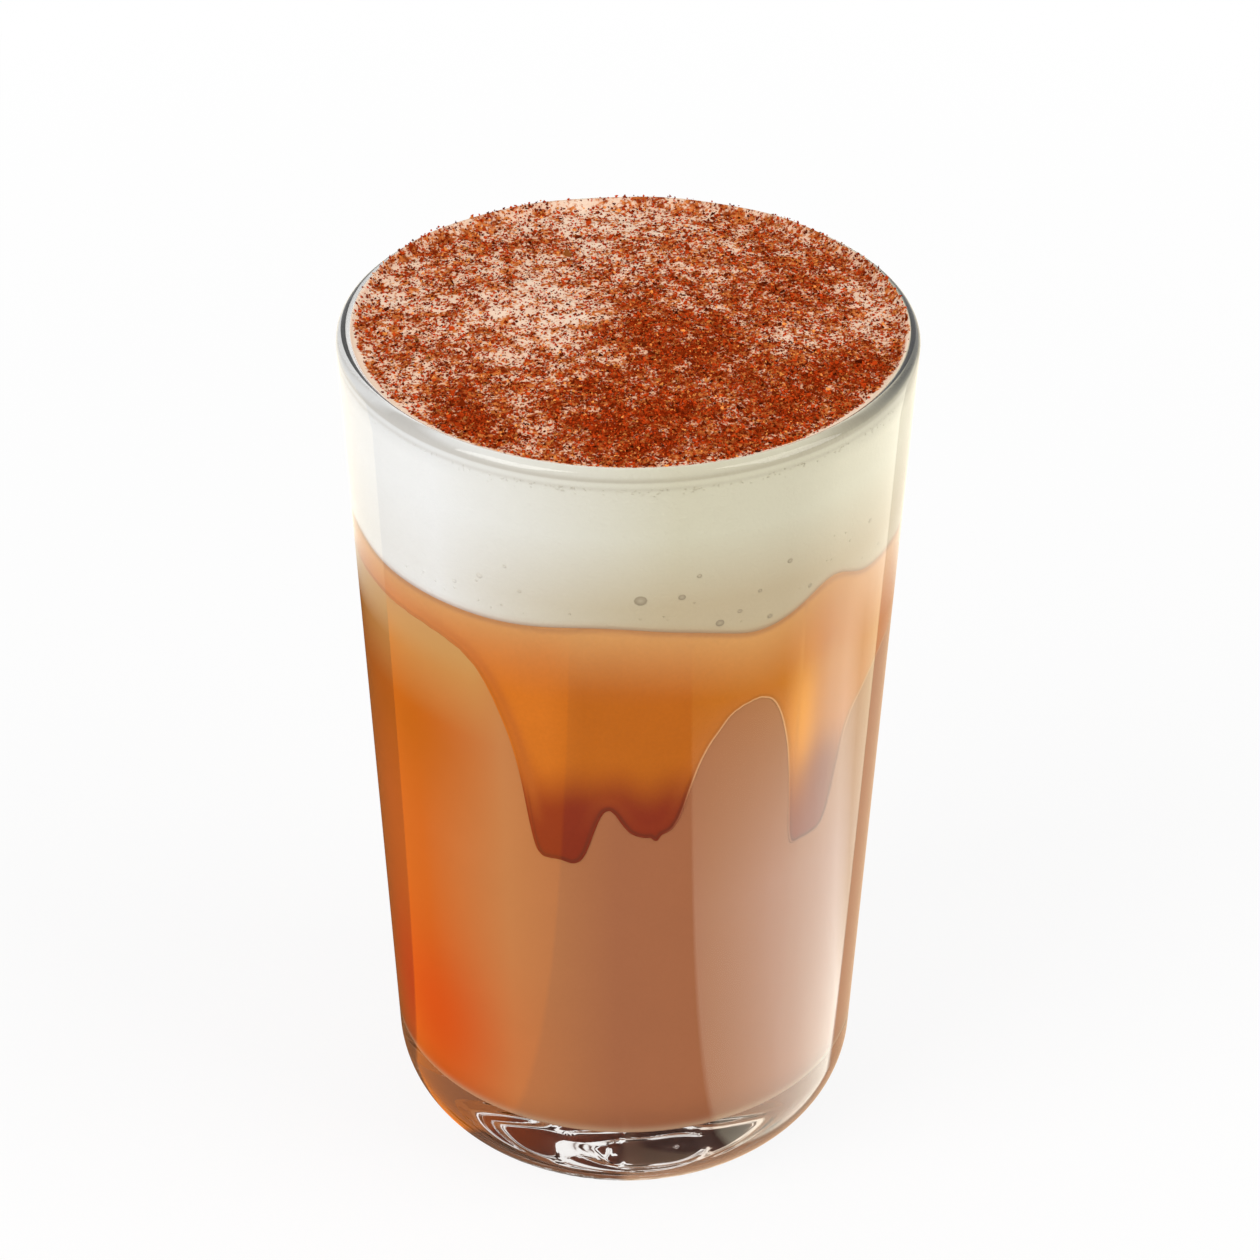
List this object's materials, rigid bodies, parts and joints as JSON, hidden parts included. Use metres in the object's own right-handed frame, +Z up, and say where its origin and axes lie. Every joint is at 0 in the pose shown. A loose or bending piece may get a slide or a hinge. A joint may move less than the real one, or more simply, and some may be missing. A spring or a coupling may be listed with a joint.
{
  "type": "pumpkin spice latte",
  "caption": "Hot milk coffee in a clear heavy-based tumbler, with a spiced caramel layer running down the inside of the wall and milk foam up to the rim under a dusting of spice.",
  "frame": {"origin": "centre of the foot, on the surface that the glass stands on", "axes": "+Z up along the axis of the glass; -Y is the front, where the two long caramel tongues show side by side"},
  "size_m": [0.0798, 0.0798, 0.1305],
  "materials": {
    "clear_glass": "clear, polished",
    "milk_coffee": "wet, lightly cloudy",
    "pumpkin_caramel": "wet, syrupy",
    "milk_foam": "fine foam, dusted with ground spice on top"
  },
  "bodies": {
    "root": {"glass": "clear_glass", "latte": "milk_coffee", "caramel": "pumpkin_caramel", "foam": "milk_foam"}
  },
  "joints": []
}
